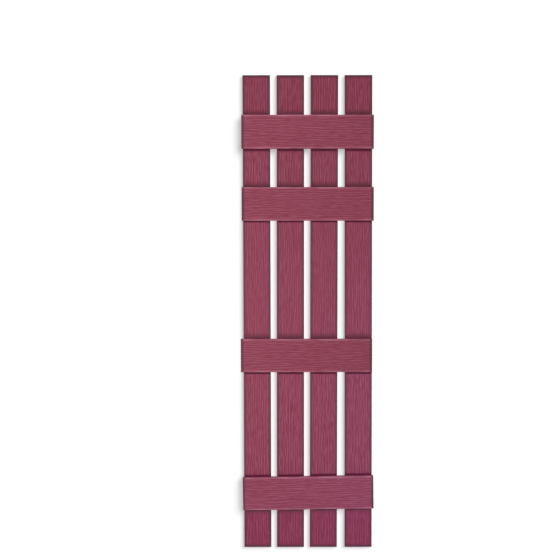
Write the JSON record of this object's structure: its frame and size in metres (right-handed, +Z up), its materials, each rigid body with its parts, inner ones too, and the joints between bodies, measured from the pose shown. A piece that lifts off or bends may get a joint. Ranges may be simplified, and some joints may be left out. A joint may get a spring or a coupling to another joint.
{
  "type": "board and batten shutter",
  "caption": "Tall exterior shutter of spaced upright boards crossed on the front by battens, moulded with a wood grain face and an open ribbed back that lies on the wall.",
  "frame": {"origin": "on the wall plane behind the left centre board, at half the boards' length, on that board's even centre line", "axes": "+Z up along the boards, +Y into the wall, +X to the right as seen from the front"},
  "size_m": [0.3738, 0.0254, 1.3302],
  "materials": {
    "board_plastic": "solid colour wine red, moulded upright wood grain, satin",
    "batten_plastic": "solid colour wine red, moulded level wood grain, satin",
    "screw_steel": "zinc plated screws, seen from behind"
  },
  "bodies": {
    "root": {"left_board": "board_plastic", "left_centre_board": "board_plastic", "right_centre_board": "board_plastic", "right_board": "board_plastic", "top_batten": "batten_plastic", "upper_batten": "batten_plastic", "lower_batten": "batten_plastic", "bottom_batten": "batten_plastic"}
  },
  "joints": []
}
